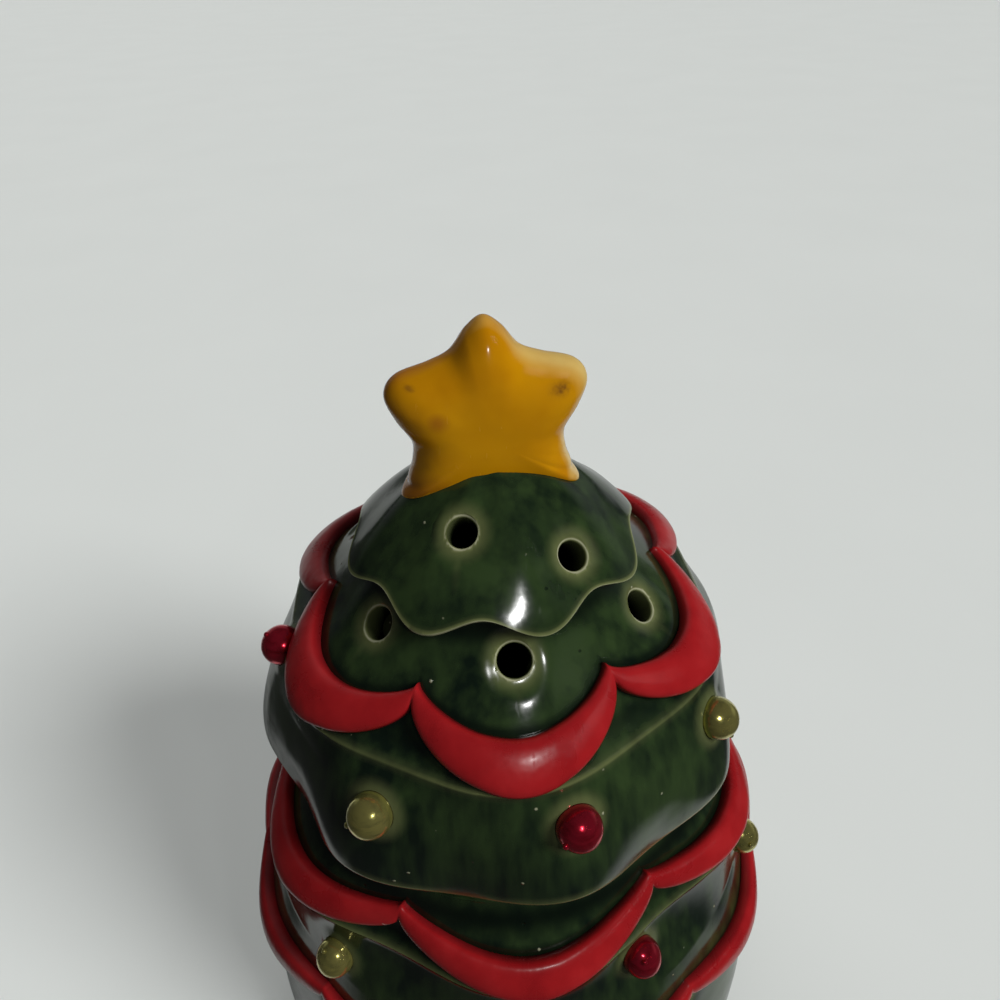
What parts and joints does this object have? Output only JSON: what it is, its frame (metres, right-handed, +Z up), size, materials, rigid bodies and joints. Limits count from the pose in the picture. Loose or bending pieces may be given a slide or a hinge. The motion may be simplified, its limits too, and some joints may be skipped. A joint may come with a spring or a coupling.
{
  "type": "ceramic christmas tree wax warmer",
  "caption": "Green glazed ceramic christmas tree wax warmer with red garlands, ball ornaments and a gold star; the lid lifts off a wax bowl over a tealight chamber.",
  "frame": {"origin": "centre of the foot, on the surface that the warmer stands on", "axes": "+Z up the tree to the star, front of the tree towards -Y, doorway towards +Y"},
  "size_m": [0.132, 0.1314, 0.195],
  "materials": {
    "green_glaze": "deep green gloss glaze that thins to olive and cream on edges",
    "red_glaze": "satin red enamel",
    "gold_glaze": "amber gold gloss glaze",
    "red_ball": "mirrored red ball",
    "gold_ball": "mirrored gold ball",
    "bowl_glaze": "green gloss glaze",
    "tealight_metal": "thin pressed aluminium",
    "candle_wax": "paraffin wax",
    "wick_cotton": "braided cotton"
  },
  "bodies": {
    "base": {"base_shell": "green_glaze", "middle_garland": "red_glaze", "lower_garland": "red_glaze", "lower_bead_red_1": "red_ball", "lower_bead_gold_1": "gold_ball", "lower_bead_red_2": "red_ball", "lower_bead_gold_2": "gold_ball", "lower_bead_red_3": "red_ball", "lower_bead_gold_3": "gold_ball", "lower_bead_red_4": "red_ball", "lower_bead_gold_4": "gold_ball"},
    "lid": {"lid_shell": "green_glaze", "star_topper": "gold_glaze", "upper_garland": "red_glaze", "upper_bead_red_1": "red_ball", "upper_bead_gold_1": "gold_ball", "upper_bead_red_2": "red_ball", "upper_bead_gold_2": "gold_ball", "upper_bead_red_3": "red_ball", "upper_bead_gold_3": "gold_ball", "upper_bead_red_4": "red_ball", "upper_bead_gold_4": "gold_ball"},
    "bowl": {"wax_bowl": "bowl_glaze"},
    "tealight": {"tealight_cup": "tealight_metal", "tealight_wax": "candle_wax", "wick_tab": "tealight_metal", "wick": "wick_cotton"}
  },
  "joints": [
    {"name": "lid_lift", "type": "slide", "parent": "base", "child": "lid", "axis": [0, 0, 1], "range_m": [0, 0.12]},
    {"name": "bowl_lift", "type": "slide", "parent": "base", "child": "bowl", "axis": [0, 0, 1], "range_m": [0, 0.048]},
    {"name": "tealight_slide", "type": "slide", "parent": "base", "child": "tealight", "axis": [0, 1, 0], "range_m": [0, 0.1]}
  ],
  "couplings": [
    {"joint": "bowl_lift", "follows": "lid_lift", "ratio": 0.4}
  ]
}
